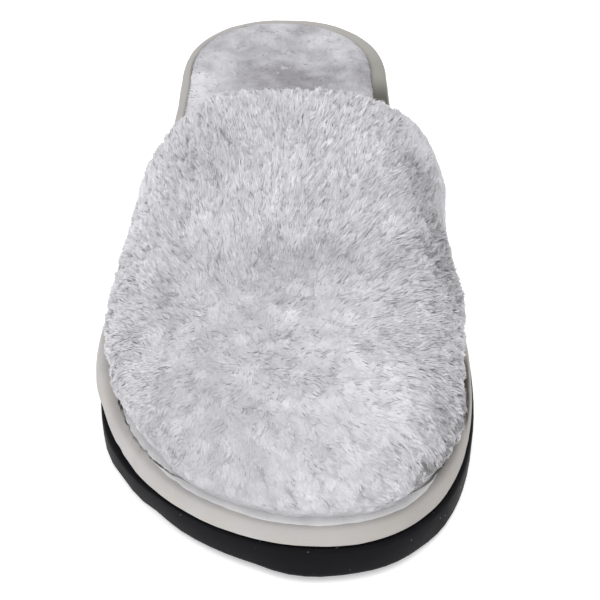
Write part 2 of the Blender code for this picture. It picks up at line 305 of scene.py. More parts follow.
# Fibres, from matted to loose: their root above the skin, how their height and tone vary, and their width
ROOT_RISE = (0.04, -0.25)
UNEVEN_HEIGHT = (0.2, 0.9)
UNEVEN_TONE = (0.03, 0.18)
FIBRE_WIDTH = (2.4, 1.0)

# Gather of a tuft at its tips: the widest, and how much narrower a loose tuft may be
GATHER_WIDEST = 1.15
GATHER_NARROWS = 0.7

# A fibre's middle: how far along, ahead and up it is, and its share of the tip's gather, shift and stray
MIDDLE_REACH = 0.4
MIDDLE_AHEAD = 0.7
MIDDLE_RISE = 0.8
MIDDLE_GATHER = 0.7
MIDDLE_SHIFT = 0.6
MIDDLE_STRAY = 0.4

# Stray of the tips: of most, of those that stray far, and the share of those
STRAY = 0.25
STRAY_FAR = 0.5
STRAY_FAR_SHARE = 0.08

# Slits between locks of matted pile, by the distance from a lock's middle, and locks that rise like shingles.
# Slits get painted shade; shingles get painted light at their tip ends and painted shade at their root ends.
SLIT_REACH = (0.8, 2.2)
SLIT_SHADE = 0.2
SHINGLE_SHADE = 0.12
SHINGLE_RISE = 0.4
ROUNDED = 0.5

# How far the pile's normals turn to the sky, more so at the throat's rim, along the nap and out from a lock
SKYWARD = 0.4
RIM_SKYWARD = 1.2
RIM_TURN = (0.1, 0.8)
NAPWARD = 0.12
TUFT_BULGE = 0.6
LOCK_BULGE = 0.25
TWIST = 0.3

# Darkest tone of pile that no painted shadow speck has darkened
DARKEST_TONE = 0.05

# Places on the map: how far matted fibres are evened out and loose ones sink, and the middle's share. A fibre
# placed lower takes more of the root's painted shade.
EVENED = 0.3
EVENED_ROOT = 1.7
SUNK = 0.3
MIDDLE_SHARE = 0.5

# Insole: where its pile begins, its lumps, the fall to its edge, the middle of the heel, and its tufts
INSOLE_PILE_FRONT = -40.0
INSOLE_LUMP = 0.55
INSOLE_LUMP_SIZE = 8.0
INSOLE_EDGE_FALL = 0.6
HEEL_MIDDLE = 88.0
INSOLE_NAP_SIZE = 20.0
INSOLE_NAP_SPREAD = 0.5
INSOLE_NAP_BACK = 0.3
INSOLE_EDGE_NAP = 3.0
INSOLE_TUFT_LENGTH = 1.8
INSOLE_TUFT_HEIGHT = 0.15
INSOLE_TUFT_WIDTH = 4.4

# Margin round the upper's foot: how far it comes out on the band, and its height above the band across it
FOOT_MIDDLE = np.array((0.0, -40.0))
FOOT_EDGE = 0.6
FOOT_SECTOR = math.radians(1.5)
FOOT_STEP = 0.8
FOOT_SMOOTH = 11
MARGIN_INSIDE = 1.4
MARGIN_OUT = 2.2
MARGIN_OUT_LATERAL = 1.5
MARGIN_OUT_MEDIAL = -1.6
MARGIN_PROFILE = ((0.0, 2.8), (0.3, 1.5), (0.6, 0.8), (0.85, 0.35), (0.96, 0.12), (1.0, -0.3))
CREASE_RADIUS = 0.2
CREASE_SIDES = 6
CREASE_LIFT = 1.2

# Pulls in the band's cover
BAND_PRESSES = (
    Press((-41.5, -103.5, 14.0), (-38.0, -101.0, 17.5), 0.45, 1.3),
    Press((-39.0, -105.5, 14.0), (-36.5, -103.0, 17.5), -0.35, 1.3),
    Press((-46.0, -95.0, 12.0), (-42.0, -93.0, 17.0), 0.35, 1.6),
    Press((-54.0, -46.0, 15.0), (-53.5, -68.0, 14.0), -0.9, 8.0),
)

# Tucks along the sole's lower edge
SOLE_PRESSES = (
    Press((-48.0, -100.0, 0.0), (-40.0, -112.0, 0.0), 1.6, 8.0),
    Press((-36.0, -116.0, 0.0), (-10.0, -131.0, 0.0), 1.8, 8.0),
    Press((20.0, -132.0, 0.0), (34.0, -124.0, 0.0), 0.9, 8.0),
)


class Shade:
    """A shader socket that takes part in Python sums. Each sum on it adds a Math node."""

    def __init__(self, finish, node, output=0):
        self.finish = finish
        self.node = node
        self.socket = node.outputs[output]

    def other(self, output):
        return Shade(self.finish, self.node, output)

    def math(self, operation, *values):
        made = self.finish.tree.nodes.new("ShaderNodeMath")
        made.operation = operation
        for socket, value in zip(made.inputs, values):
            self.finish.feed(socket, value)
        return Shade(self.finish, made)

    def __add__(self, other):
        return self.math("ADD", self, other)

    __radd__ = __add__

    def __sub__(self, other):
        return self.math("SUBTRACT", self, other)

    def __rsub__(self, other):
        return self.math("SUBTRACT", other, self)

    def __mul__(self, other):
        return self.math("MULTIPLY", self, other)

    __rmul__ = __mul__

    def between(self, low, high):
        """A soft step: 0 below low, 1 above high."""
        sockets = {"Value": self, "From Min": low, "From Max": high}
        return self.finish.node("ShaderNodeMapRange", {"interpolation_type": "SMOOTHSTEP"}, sockets)


class Finish:
    """A material, with the nodes that feed its Principled shader."""

    # Places of the colour sockets on a Mix node, which has sockets for other kinds of value too
    MIX_SHARE = 0
    MIX_FIRST = 6
    MIX_SECOND = 7
    MIX_RESULT = 2

    def __init__(self, name, **constants):
        self.material = bpy.data.materials.new(name)
        self.material.use_nodes = True
        self.tree = self.material.node_tree
        self.shader = self.tree.nodes["Principled BSDF"]
        for socket, value in constants.items():
            self.feed(self.shader.inputs[socket.replace("_", " ")], value)

    def feed(self, socket, value):
        if isinstance(value, Shade):
            self.tree.links.new(value.socket, socket)
        elif socket.type == "RGBA":
            socket.default_value = (*value, 1.0)
        else:
            socket.default_value = value

    def node(self, kind, settings=None, sockets=None, output=0):
        """A node of this kind: its settings come first, then the values or links of its sockets."""
        made = self.tree.nodes.new(kind)
        for name, value in (settings or {}).items():
            if name == "stops":
                self.set_stops(made.color_ramp, value)
            else:
                setattr(made, name, value)
        for name, value in (sockets or {}).items():
            self.feed(made.inputs[name], value)
        return Shade(self, made, output)

    def set_stops(self, ramp, stops):
        while len(ramp.elements) < len(stops):
            ramp.elements.new(1.0)
        for element, (place, colour) in zip(ramp.elements, stops):
            element.position = place
            element.color = (*colour, 1.0)

    def mix(self, share, first, second):
        """A colour that goes from the first to the second as share goes from 0 to 1."""
        sockets = {self.MIX_SHARE: share, self.MIX_FIRST: first, self.MIX_SECOND: second}
        return self.node("ShaderNodeMix", {"data_type": "RGBA"}, sockets, self.MIX_RESULT)

    def place(self):
        return self.node("ShaderNodeTexCoord", output="Object")

    def axes(self):
        """The three coordinates of a place on the shoe, in millimetres."""
        parts = self.node("ShaderNodeSeparateXYZ", None, {"Vector": self.place()})
        return tuple(parts.other(axis) * (1.0 / MM) for axis in "XYZ")

    def grain(self, size, detail=2.0, roughness=0.5):
        """Noise from 0 to 1 whose spots are about this size in millimetres."""
        scale = 1.0 / (size * MM)
        sockets = {"Vector": self.place(), "Scale": scale, "Detail": detail, "Roughness": roughness}
        return self.node("ShaderNodeTexNoise", {"noise_dimensions": "3D"}, sockets)

    def colour(self, value):
        self.feed(self.shader.inputs["Base Color"], value)

    def roughness(self, value):
        self.feed(self.shader.inputs["Roughness"], value)

    def bump(self, height, depth):
        """Relief of a height from 0 to 1 that is this deep in millimetres."""
        sockets = {"Height": height, "Distance": depth * MM, "Strength": 1.0}
        self.feed(self.shader.inputs["Normal"], self.node("ShaderNodeBump", None, sockets))


# Finishes
def medial_gap(x, y, z):
    """Share, from 0 to 1, of the painted shadow in the gap between the upper and the band on the medial side.
    """
    along = y.between(-95.0, -87.0) * (1.0 - y.between(-68.0, -56.0))
    return x.between(42.0, 45.0) * along * (1.0 - z.between(23.0, 29.0))


def fleece_pile(name, roots, tips):
    """Fibres, each of its own tone, that change colour from painted shade at the root to the tip. The pile's
    map holds both.
    """
    pile = Finish(name, Roughness=0.75, Sheen_Weight=0.2, Sheen_Roughness=0.5)
    spot = pile.node("ShaderNodeUVMap", {"uv_map": PILE_MAP})
    tone = pile.node("ShaderNodeSeparateXYZ", None, {"Vector": spot})
    along = tone.other("Y")
    tinted = pile.node("ShaderNodeValToRGB", {"stops": tips}, {"Fac": tone})
    rooted = pile.node("ShaderNodeValToRGB", {"stops": roots}, {"Fac": tone})
    pile.colour(pile.mix(along.between(*ROOTS_FADE), rooted, tinted))
    return pile.material


def fleece_skin(name, dark, light):
    """Cloth under the pile: blotched, with short fuzz in its relief, and painted black-brown shadow in the
    medial gap.
    """
    skin = Finish(name, Roughness=0.9, Specular_IOR_Level=0.2)
    blotch = skin.grain(7.0, detail=3.0)
    fuzz = skin.grain(0.5, detail=4.0, roughness=0.7)
    cloth = skin.mix((blotch * 0.6 + fuzz * 0.4).between(0.3, 0.7), dark, light)
    skin.colour(skin.mix(medial_gap(*skin.axes()), cloth, GAP_SHADE))
    skin.bump(fuzz, 0.15)
    return skin.material


def microsuede():
    """Cover of the platform: fine nap and soft mottling, with painted shade along its upper edge, on its
    medial heel, side and rim, and in the medial gap.
    """
    band = Finish("microsuede", Specular_IOR_Level=0.2)
    x, y, z = band.axes()
    mottle = band.grain(16.0, detail=3.0)
    blush = band.grain(9.0, detail=2.0)
    fade = band.grain(5.0, detail=3.0)
    nap = band.grain(0.35, detail=3.0, roughness=0.65)
    cover = band.mix(mottle.between(0.35, 0.7), BAND_DARK, BAND_PALE)
    cover = band.mix(blush.between(0.45, 0.7) * 0.5, cover, BAND_BLUSH)
    cover = band.mix(fade.between(0.5, 0.75) * 0.5, cover, BAND_FADED)
    # Painted shade along the band's upper edge under the overhanging upper, less at the lateral toe
    lateral_toe = (1.0 - x.between(-46.0, -32.0)) * (1.0 - y.between(-50.0, -20.0))
    cover = band.mix(z.between(13.0, 20.0) * (0.52 - 0.37 * lateral_toe), cover, BAND_EDGE_SHADE)
    # Painted shade, mottled olive-grey, on the medial side of the heel, less towards the back
    heel = x.between(10.0, 30.0) * y.between(30.0, 70.0) * (1.0 - 0.6 * y.between(98.0, 116.0))
    cover = band.mix(heel * (0.35 + 0.5 * mottle), cover, HEEL_SHADE)
    # Painted shade over the band's medial side
    medial_side = x.between(10.0, 34.0) * (1.0 - y.between(20.0, 40.0))
    cover = band.mix(medial_side * 0.55, cover, MEDIAL_SHADE)
    # Painted contact shadow on the medial rim, where the upper's end overhangs it
    medial_rim = x.between(20.0, 28.0) * y.between(40.0, 60.0) * (1.0 - y.between(76.0, 94.0))
    cover = band.mix(medial_rim * z.between(21.6, 23.0) * 0.85, cover, RIM_SHADOW)
    # Painted shadow low on the band in the medial gap
    cover = band.mix(medial_gap(x, y, z) * z.between(15.2, 16.6) * 0.9, cover, GAP_SHADE)
    band.colour(band.mix((nap - 0.5) * 0.5, cover, BAND_NAP))
    band.roughness(0.78 + 0.12 * nap)
    band.bump(nap, 0.06)
    return band.material


def crease_shade():
    """A dark line painted along the crease: grey painted shade at the toe, a dark seam on the lateral side,
    and nearly black-brown painted shadow on the medial side.
    """
    crease = Finish("crease_shade", Roughness=0.95, Specular_IOR_Level=0.1)
    x = crease.axes()[0]
    patchy = crease.grain(3.0, detail=3.0)
    # Painted shade, grey and patchy, along the crease
    shade = crease.mix(patchy.between(0.35, 0.65), CREASE_DARK, CREASE_PALE)
    lateral = (1.0 - x.between(-34.0, -18.0)) * patchy.between(0.4, 0.6)
    shade = crease.mix(lateral, shade, CREASE_LATERAL)
    # Painted shadow, nearly black-brown, on the medial side
    crease.colour(crease.mix(x.between(32.0, 46.0), shade, CREASE_MEDIAL))
    return crease.material


def rubber():
    """Moulded black rubber: satin, with a fine moulding grain, dust and a few pale specks."""
    sole = Finish("sole_rubber", Specular_IOR_Level=0.03)
    grain = sole.grain(0.5, detail=3.0)
    dust = sole.grain(22.0, detail=5.0, roughness=0.65).between(0.5, 0.8)
    specks = sole.grain(1.4, detail=1.0).between(0.74, 0.8)
    dusted = sole.mix(dust * 0.5, RUBBER_BLACK, RUBBER_DUST)
    sole.colour(sole.mix(specks * 0.6, dusted, RUBBER_SPECKS))
    sole.roughness(0.5 + 0.2 * dust)
    sole.bump(grain, 0.05)
    return sole.material


# Meshes
Skin = namedtuple("Skin", "points normals triangles")


def welded(node):
    """A CAD node's solid with its triangles joined up, mostly as quads."""
    shape = bmesh.new()
    shape.from_mesh(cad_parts[node].data)
    bmesh.ops.remove_doubles(shape, verts=shape.verts, dist=WELD)
    bmesh.ops.join_triangles(
        shape, faces=shape.faces, angle_face_threshold=QUAD_FOLD, angle_shape_threshold=QUAD_SKEW
    )
    return shape


def refined(node):
    """A CAD node's solid as a finer, softer mesh."""
    shape = welded(node)
    rough = bpy.data.meshes.new(node + "_rough")
    shape.to_mesh(rough)
    shape.free()
    holder = bpy.data.objects.new(node + "_rough", rough)
    bpy.context.scene.collection.objects.link(holder)
    soft = holder.modifiers.new("soft", "SUBSURF")
    soft.levels = soft.render_levels = SUBDIVISIONS
    graph = bpy.context.evaluated_depsgraph_get()
    mesh = bpy.data.meshes.new_from_object(holder.evaluated_get(graph))
    bpy.data.objects.remove(holder)
    bpy.data.meshes.remove(rough)
    mesh.materials.clear()
    mesh.shade_smooth()
    return mesh


def read(items, name, width, kind=np.float32):
    found = np.empty(len(items) * width, kind)
    items.foreach_get(name, found)
    return found.reshape(-1, width) if width > 1 else found


def points_of(mesh):
    return read(mesh.vertices, "co", 3).astype(float) / MM


def normals_of(mesh):
    return read(mesh.vertices, "normal", 3).astype(float)


def surface_of(mesh):
    """A tree of the mesh's faces, in millimetres, to find places on it."""
    return BVHTree.FromPolygons(points_of(mesh), [tuple(face.vertices) for face in mesh.polygons])


def move_points(mesh, points):
    mesh.vertices.foreach_set("co", (points * MM).astype(np.float32).ravel())
    mesh.update()


def mesh_of(name, points, faces):
    """A mesh of equal faces, from points in millimetres."""
    mesh = bpy.data.meshes.new(name)
    mesh.vertices.add(len(points))
    mesh.vertices.foreach_set("co", (points * MM).astype(np.float32).ravel())
    mesh.loops.add(faces.size)
    mesh.loops.foreach_set("vertex_index", faces.astype(np.int32).ravel())
    mesh.polygons.add(len(faces))
    mesh.polygons.foreach_set("loop_start", np.arange(0, faces.size, faces.shape[1], dtype=np.int32))
    mesh.update(calc_edges=True)
    mesh.shade_smooth()
    return mesh


def add_piece(name, mesh, slot, *materials):
    for material in materials:
        mesh.materials.append(material)
    piece = bpy.data.objects.new(name, mesh)
    bpy.context.scene.collection.objects.link(piece)
    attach(piece, "root")
    return piece


def unit(vectors):
    return vectors / np.maximum(np.linalg.norm(vectors, axis=-1, keepdims=True), 1e-9)


def ease(values, low, high):
    t = np.clip((values - low) / (high - low), 0.0, 1.0)
    return t * t * (3.0 - 2.0 * t)


def graded(ends, share):
    """A value that goes from the first end to the second as share goes from 0 to 1."""
    first, second = ends
    return first + (second - first) * share


def drift(places, size, number):
    """Smooth noise from about -1 to 1 at each place, a different one for each number."""
    away = Vector((0.0, 0.0, 31.7 * number))
    return np.array([noise.noise(Vector(place) / size + away) for place in places])


def nearest_on(points, start, end):
    """The place nearest to each point on the line from start to end."""
    start, along = np.array(start), np.subtract(end, start)
    share = np.clip((points - start) @ along / (along @ along), 0.0, 1.0)
    return start + share[:, None] * along


def pressed(points, outward, presses):
    """Points moved against the outward directions by the troughs near them."""
    depth = np.zeros(len(points))
    for press in presses:
        distance = np.linalg.norm(points - nearest_on(points, press.start, press.end), axis=1)
        depth += press.depth * np.exp(-((distance / press.width) ** 2))
    return points - depth[:, None] * outward


def patch_tones(places, patches):
    tones = np.zeros(len(places))
    for patch in patches:
        distance = np.hypot(places[:, 0] - patch.x, places[:, 1] - patch.y)
        tones += patch.tone * np.exp(-((distance / patch.reach) ** 2))
    return tones


# Pile
Tufts = namedtuple("Tufts", "roots normals naps length height width tones loose lean fore pull")


def skin_of(mesh, keep):
    """The triangles of the faces that are kept, with every point and its normal."""
    mesh.calc_loop_triangles()
    triangles = read(mesh.loop_triangles, "vertices", 3, np.int32)
    owner = read(mesh.loop_triangles, "polygon_index", 1, np.int32)
    return Skin(points_of(mesh), normals_of(mesh), triangles[keep[owner]])


def thinned(places, spacing):
    """Numbers of the places that stay when those too near an earlier one are dropped."""
    steps = [(i, j, k) for i in (-1, 0, 1) for j in (-1, 0, 1) for k in (-1, 0, 1)]
    cells = {}
    kept = []
    for number, place in enumerate(places.tolist()):
        x, y, z = (int(value // spacing) for value in place)
        near = (other for i, j, k in steps for other in cells.get((x + i, y + j, z + k), ()))
        if all(math.dist(place, other) >= spacing for other in near):
            cells.setdefault((x, y, z), []).append(place)
            kept.append(number)
    return np.array(kept)


def spread_roots(skin, spacing, rng):
    """Roots spread evenly over a skin, and the skin's normals there."""
    corners = skin.points[skin.triangles]
    first, second = corners[:, 1] - corners[:, 0], corners[:, 2] - corners[:, 0]
    areas = np.linalg.norm(np.cross(first, second), axis=1) / 2
    darts = int(DARTS_PER_ROOT * areas.sum() / spacing**2)
    chosen = rng.choice(len(areas), darts, p=areas / areas.sum())
    shares = rng.dirichlet((1.0, 1.0, 1.0), darts)[:, :, None]
    places = (corners[chosen] * shares).sum(axis=1)
    normals = unit((skin.normals[skin.triangles[chosen]] * shares).sum(axis=1))
    kept = thinned(places, spacing)
    return places[kept], normals[kept]


def turned(vectors, axes, angles):
    """Each unit vector turned about its own perpendicular axis."""
    return vectors * np.cos(angles)[:, None] + np.cross(axes, vectors) * np.sin(angles)[:, None]


def across(vectors, normals):
    """Each vector laid into the plane of its normal."""
    return unit(vectors - normals * (vectors * normals).sum(axis=1, keepdims=True))


def fibre_mesh(name, points, normals, tone, share):
    """Fibres of four points, a root, two sides and a tip, each at its place on the pile's map."""
    count = len(points)
    corners = np.array((0, 2, 1, 1, 2, 3))
    faces = (4 * np.arange(count)[:, None] + corners).reshape(-1, 3)
    mesh = mesh_of(name, points.reshape(-1, 3), faces)
    mesh.normals_split_custom_set_from_vertices(normals.reshape(-1, 3).astype(np.float32))
    tones = np.clip(tone, *MAP_TONES)[:, None] + MAP_HALF_WIDTH * np.array((0, -1, 1, 0))
    places = np.stack((tones, np.clip(share, *MAP_SHARES)), axis=2)[:, corners]
    mesh.uv_layers.new(name=PILE_MAP).data.foreach_set("uv", places.astype(np.float32).ravel())
    return mesh


def settled(tree, places, rises):
    """Each place moved to stand this far out from the skin that is nearest to it."""
    moved = np.empty_like(places)
    for number, place in enumerate(places):
        spot, normal = tree.find_nearest(place)[:2]
        moved[number] = spot + normal * rises[number]
    return moved


def grow_pile(name, tufts, pile, tree, tones_at, slot, material, rng):
    """Fibres in tufts over a skin. Each rises from its root, bends along the nap and leans in to its tuft."""
    tuft = np.repeat(np.arange(len(tufts.roots)), pile.strands)
    count = len(tuft)
    out, nap = tufts.normals[tuft], tufts.naps[tuft]
    side = np.cross(out, nap)
    loose, pull = tufts.loose[tuft], tufts.pull[tuft]
    matted = 1.0 - loose

    # Where each fibre is in its tuft, and where that is in its lock
    radius = tufts.width[tuft] / 2
    spread = np.sqrt(rng.random(count))
    turn = 2 * math.pi * rng.random(count)
    ahead, aside = spread * np.cos(turn), spread * np.sin(turn)
    gather = GATHER_WIDEST - GATHER_NARROWS * loose * (rng.random(len(tufts.roots)) ** 2)[tuft]
    off_lock = tufts.lean[tuft] + radius * aside
    shift = -pull * off_lock * loose
    edge = pull * np.minimum(np.abs(off_lock) / CLUMP, 1.0)
    slit = matted * pull * ease(np.abs(off_lock), *SLIT_REACH)
    shingle = pull * np.clip((tufts.fore[tuft] + radius * ahead) / CLUMP, -1.0, 1.0)

    # How long and how high it is, and how far its tip strays
    reach = tufts.length[tuft] * graded(LENGTHS_VARY, rng.random(count))
    uneven = 1.0 + (rng.random(count) - 0.5) * graded(UNEVEN_HEIGHT, loose)
    rounded = 1.0 - ROUNDED * aside**2 * (1.0 - gather)
    height = tufts.height[tuft] * uneven * rounded * (1.0 - edge) * (1.0 - slit)
    height *= 1.0 + SHINGLE_RISE * shingle
    stray = rng.normal(0.0, 1.0, (count, 3))
    stray *= np.where(rng.random(count) < STRAY_FAR_SHARE, STRAY_FAR, STRAY)[:, None]
    lift = (stray * out).sum(axis=1) * loose

    def place(along, beside, rise):
        return tufts.roots[tuft] + along[:, None] * nap + beside[:, None] * side + rise[:, None] * out

    # Its root, middle and tip
    root = place(radius * ahead, radius * aside, np.zeros(count))
    root = settled(tree, root, graded(ROOT_RISE, loose))
    beside = (1.0 - MIDDLE_GATHER * (1.0 - gather)) * radius * aside + MIDDLE_SHIFT * shift
    middle = place(MIDDLE_AHEAD * radius * ahead + MIDDLE_REACH * reach, beside, MIDDLE_RISE * height)
    middle = settled(tree, middle + MIDDLE_STRAY * stray, MIDDLE_RISE * height + MIDDLE_STRAY * lift)
    tip = place(gather * radius * ahead + reach, gather * radius * aside + shift, height)
    tip = settled(tree, tip + stray, height + lift)

    # Which way it faces, and how wide it is
    bulge = TUFT_BULGE * (1.0 - gather) * aside + LOCK_BULGE * matted * pull * off_lock
    skyward = SKYWARD + RIM_SKYWARD * ease(out[:, 1], *RIM_TURN)
    facing = unit(out + bulge[:, None] * side + NAPWARD * nap + skyward[:, None] * UP)
    wide = unit(np.cross(tip - root, facing + rng.normal(0.0, TWIST, (count, 3)) * loose[:, None]))
    half = pile.fibre / 2 * (graded(WIDTHS_VARY, rng.random(count)) * graded(FIBRE_WIDTH, loose))[:, None]
    points = np.stack((root, middle - wide * half, middle + wide * half, tip), axis=1)
    normals = np.repeat(facing[:, None], 4, axis=1)

    # Its tone, and the places of its points from root to tip on the map
    broad, lines = tones_at(middle)
    tone = tufts.tones[tuft] + broad + rng.normal(0.0, 1.0, count) * graded(UNEVEN_TONE, loose)
    darkest = np.minimum(tufts.tones[tuft], DARKEST_TONE)
    # Painted light at the shingles' tip ends, painted shade at their root ends, in the slits and in the
    # partings
    tone = np.maximum(tone + SHINGLE_SHADE * shingle - SLIT_SHADE * slit, darkest) - lines
    # Loose fibres far out in their tuft, and those at a lock's edge, sink on the map into the root's painted
    # shade
    sunk = 1.0 - SUNK * loose * spread - edge
    even = EVENED * matted
    side_share = (MIDDLE_SHARE + even) * sunk
    share = np.stack((EVENED_ROOT * even, side_share, side_share, sunk), axis=1)
    for number, part in enumerate(np.array_split(np.arange(count), math.ceil(count / MOST_STRANDS))):
        mesh = fibre_mesh(f"{name}_{number + 1}", points[part], normals[part], tone[part], share[part])
        add_piece(mesh.name, mesh, slot, material)


# Upper
def foot_height(node):
    """Height of the solid's flat foot as a function of y."""
    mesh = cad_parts[node].data
    normals = read(mesh.polygons, "normal", 3)
    centres = read(mesh.polygons, "center", 3) / MM
    foot = centres[(normals[:, 2] < FACING_DOWN) & (centres[:, 2] < HIGHEST_FOOT)]
    foot = foot[np.argsort(foot[:, 1])]
    return lambda y: np.interp(y, foot[:, 1], foot[:, 2])


def lock_rises(places):
    """Rise of the pile's soft locks at each place: 1 on a lock, less in the valley beside it."""
    edges = [noise.voronoi(Vector(place) / LOCK_SIZE)[0] for place in places]
    rises = ease(np.array([near[1] - near[0] for near in edges]), 0.0, LOCK_SLOPE)
    return 1.0 - (1.0 - rises) * graded(LOCKS_SHARE, ease(places[:, 0], *LOCKS_GROW))


def shape_upper(mesh):
    """Sets the skin's troughs, ridges and soft locks. Returns which faces are outside."""
    points = points_of(mesh)
    centres = read(mesh.polygons, "center", 3) / MM
    away = centres - nearest_on(centres, VAMP_TOE, VAMP_THROAT)
    facing = (unit(away) * read(mesh.polygons, "normal", 3)).sum(axis=1)
    outer = facing > np.where(centres[:, 1] > RIM_FRONT, RIM_FACING, 0.0)
    outward = unit(points - nearest_on(points, VAMP_TOE, VAMP_THROAT))
    outside = ease((outward * normals_of(mesh)).sum(axis=1), 0.1, 0.5)
    sunk = LOCK_HEIGHT * outside * (1.0 - lock_rises(points))
    move_points(mesh, pressed(points - sunk[:, None] * outward, outward, UPPER_PRESSES))
    return outer


def hanging_at(places):
    """Share, from 0 to 1, of the pile that hangs down over the foot: all of it on the medial side."""
    return ease(places[:, 0], 24.0, 40.0)


def locks_of(roots, normals, naps, rng):
    """The lock of each root: how far beside and ahead of its middle the root is, its pull and its tint."""
    centres = roots[thinned(roots, CLUMP)]
    tree = kdtree.KDTree(len(centres))
    for number, centre in enumerate(centres):
        tree.insert(centre, number)
    tree.balance()
    found = [tree.find_n(root, NEAR_LOCKS) for root in roots]
    near = np.array([[number for place, number, distance in locks] for locks in found])
    away = roots[:, None] - centres[near]
    beside = (away * np.cross(normals, naps)[:, None]).sum(axis=2)
    ahead = (away * naps[:, None]).sum(axis=2)
    rows = np.arange(len(roots))
    best = np.argmin(beside**2 + (ahead / LOCK_STRETCH) ** 2, axis=1)
    lock = near[rows, best]
    pull = rng.random(len(centres))[lock] ** PULL_POWER
    tint = rng.normal(0.0, 1.0, len(centres))[lock]
    return beside[rows, best], ahead[rows, best], pull, tint


def vamp_tufts(roots, normals, rise, rng):
    """Tufts of the upper: loose near the throat, matted round the toe, flatter on the medial wall."""
    x, y = roots[:, 0], roots[:, 1]
    count = len(roots)
    away = roots - NAP_CROWN
    lying = ease(np.linalg.norm(away, axis=1), *CROWN_REACH)
    angles = rng.normal(0.0, 1.0, count) * graded(NAP_SPREAD, lying)
    angles += WANDER_ANGLE * drift(roots, WANDER_SIZE, 1)
    naps = turned(across(away, normals), normals, angles)
    wall = ease(x + WALL_SLANT * y, *WALL_SLANTED) * ease(x, *WALL_STRAIGHT)
    from_toe = np.hypot((x - MATTED_TOE[0]) / MATTED_REACH[0], (y - MATTED_TOE[1]) / MATTED_REACH[1])
    loose = graded(LOOSENESS, ease(from_toe, *MATTED_FALL)) * (1.0 - WALL_MATTED * wall)
    short = graded(SHORT_PILE, hanging_at(roots)) * (1.0 - ease(rise, 0.0, PILE_RISE))
    size = (ease(rise, -1.0, PILE_RISE) + short) * graded(UPPER_TUFTS_VARY, rng.random(count))
    length = graded(PILE_LENGTH, lying) * size * graded(LENGTH_SHARE, loose)
    height = graded(PILE_HEIGHT, loose * (1.0 - WALL_FLATTENED * wall)) * size
    width = graded(TUFT_WIDTH, loose) * (0.5 + 0.5 * size)
    tones = graded(TUFT_TONE, loose) + TUFT_MOTTLE * drift(roots, TUFT_MOTTLE_SIZE, 15)
    # Specks of painted shadow between the pile's tips, low on the medial side and along a line there
    specks = drift(roots, SHADE_SPECKS_SIZE, 20)
    low_medial = ease(x, 16.0, 34.0) * (1.0 - ease(rise, 1.0, 4.5))
    tones -= SHADE_SPECKS_TONE * low_medial * ease(specks, -0.15, 0.2)
    from_shade_specks = np.linalg.norm(roots - nearest_on(roots, SHADE_SPECKS_BACK, SHADE_SPECKS_FRONT), axis=1)
    tones -= SHADE_SPECKS_TONE * np.exp(-((from_shade_specks / SHADE_SPECKS_REACH) ** 2)) * ease(specks, -0.2, 0.1)
    lean, fore, pull, tint = locks_of(roots, normals, naps, rng)
    tones += graded(LOCK_TINT, loose) * tint
    pull *= graded(LOCK_PULL, loose)
    return Tufts(roots, normals, naps, length, height, width, tones, loose, lean, fore, pull)


def foot_outline(node, foot):
    """The outer edge of the solid's foot, from one side of the throat round the toe, in even steps."""
    points = points_of(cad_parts[node].data)
    points = points[points[:, 2] < foot(points[:, 1]) + FOOT_EDGE]
    away = points[:, :2] - FOOT_MIDDLE
    distance = np.linalg.norm(away, axis=1)
    sector = np.round(np.arctan2(away[:, 0], -away[:, 1]) / FOOT_SECTOR)
    outermost = [np.argmax(np.where(sector == number, distance, 0.0)) for number in np.unique(sector)]
    smooth = np.ones(FOOT_SMOOTH) / FOOT_SMOOTH
    beyond = FOOT_SMOOTH // 2
    padded = np.pad(points[outermost], ((beyond, beyond), (0, 0)), mode="edge")
    points = np.stack([np.convolve(column, smooth, "valid") for column in padded.T], axis=1)
    run = np.concatenate(((0.0,), np.cumsum(np.linalg.norm(np.diff(points, axis=0), axis=1))))
    even = np.arange(0.0, run[-1], FOOT_STEP)
    return np.stack([np.interp(even, run, column) for column in points.T], axis=1)


def laid_on(tree, places):
    """The places with their height changed to that of the surface under them, where there is one."""
    laid = places.copy()
    for number, (x, y, z) in enumerate(places):
        hit = tree.ray_cast((x, y, OVERHEAD), tuple(-UP))[0]
        if hit:
            laid[number, 2] = hit.z
    return laid


def grid_mesh(name, grid):
    """A mesh of a grid of points: along its rows, and across each one."""
    rows, columns = grid.shape[:2]
    first = np.add.outer(columns * np.arange(rows - 1), np.arange(columns - 1)).ravel()
    faces = first[:, None] + np.array((0, 1, columns + 1, columns))
    return mesh_of(name, grid.reshape(-1, 3), faces)


